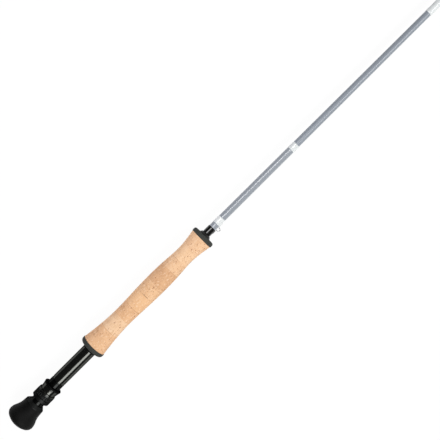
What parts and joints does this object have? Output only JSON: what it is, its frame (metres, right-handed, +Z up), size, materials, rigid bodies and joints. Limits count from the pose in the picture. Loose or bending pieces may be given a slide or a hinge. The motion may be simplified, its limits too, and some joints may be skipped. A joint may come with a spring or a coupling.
{
  "type": "fly rod handle section",
  "caption": "Fly rod butt section with cork full-wells grip, uplocking reel seat with sliding hood and lock nut, fighting butt, hook keeper and ferrule spigot.",
  "frame": {"origin": "on the rod's axis at the middle of the cork grip", "axes": "+X along the rod towards the tip, +Z up away from the reel side, hook keeper on -Y"},
  "size_m": [0.7617, 0.0358, 0.0358],
  "materials": {
    "foam_rubber": "matte black foam rubber",
    "black_anodised": "gloss black anodised",
    "bright_edged_black": "polished black anodised",
    "bare_aluminium": "turned",
    "fibre_bush": "cut fibre tube",
    "trim_composite": "matte dark grey",
    "cork": "sanded natural cork",
    "check_rubber": "satin black",
    "grey_blank": "satin grey lacquer on carbon tube",
    "spigot_carbon": "ground carbon",
    "clear_coat": "gloss clear coat over grey",
    "black_thread": "wound thread under clear coat",
    "white_thread": "wound thread under clear coat",
    "keeper_wire": "bright wire"
  },
  "bodies": {
    "rod": {"fighting_butt": "foam_rubber", "butt_collar": "black_anodised", "seat_barrel": "black_anodised", "fixed_hood": "black_anodised", "butt_stud": "bare_aluminium", "seat_arbor_lower": "fibre_bush", "seat_arbor_upper": "fibre_bush", "rear_trim_ring": "trim_composite", "front_trim_cap": "trim_composite", "cork_ring_1": "cork", "cork_ring_2": "cork", "cork_ring_3": "cork", "cork_ring_4": "cork", "cork_ring_5": "cork", "cork_ring_6": "cork", "cork_ring_7": "cork", "cork_ring_8": "cork", "cork_ring_9": "cork", "winding_check": "check_rubber", "blank": "grey_blank", "ferrule_spigot": "spigot_carbon", "label_sleeve": "clear_coat", "lower_wrap": "black_thread", "keeper_wrap": "white_thread", "upper_wrap": "white_thread", "ferrule_wrap": "white_thread", "hook_keeper": "keeper_wire"},
    "hood": {"sliding_hood": "black_anodised", "slip_ring": "bright_edged_black"},
    "nut": {"lock_nut": "black_anodised"}
  },
  "joints": [
    {"name": "hood_slide", "type": "slide", "parent": "rod", "child": "hood", "axis": [1, 0, 0], "range_m": [-0.0045, 0.022]},
    {"name": "lock_nut_turn", "type": "hinge", "parent": "hood", "child": "nut", "pos_m": [-0.1775, 0, 0], "axis": [1, 0, 0], "range_deg": [-1080, 5280]}
  ],
  "couplings": [
    {"joint": "hood_slide", "follows": "lock_nut_turn", "m_per_rad": 0.00023873}
  ]
}
